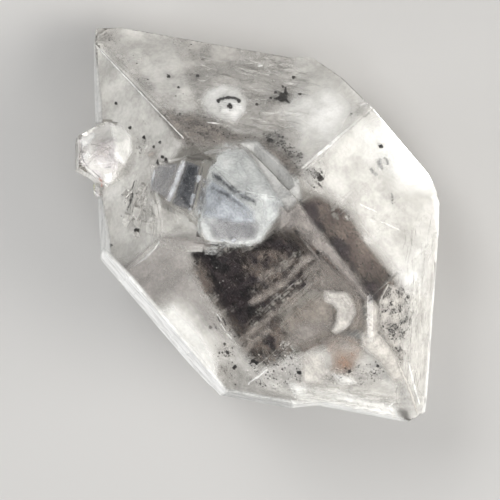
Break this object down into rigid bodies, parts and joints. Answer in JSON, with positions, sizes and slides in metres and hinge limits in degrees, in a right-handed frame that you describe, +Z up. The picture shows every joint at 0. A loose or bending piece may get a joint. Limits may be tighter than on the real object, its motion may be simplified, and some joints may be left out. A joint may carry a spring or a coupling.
{
  "type": "double terminated quartz crystal",
  "caption": "Stout clear quartz crystal pointed at both ends, with a smaller crystal in a hollow of its front ridge, etched growth steps and a tiny clear crystal on one flank.",
  "frame": {"origin": "bottom centre of the bounding box, on the ground that the crystal rests on", "axes": "+X along the c axis, towards the high tip; +Z up, square to the widest prism face, which lies down; the front ridge points up and towards +Y"},
  "size_m": [0.0334, 0.0222, 0.0149],
  "materials": {
    "clear_quartz": "natural crystal faces, glossy, clear to milky with black carbon inclusions"
  },
  "bodies": {
    "root": {"quartz_crystal": "clear_quartz"}
  },
  "joints": []
}
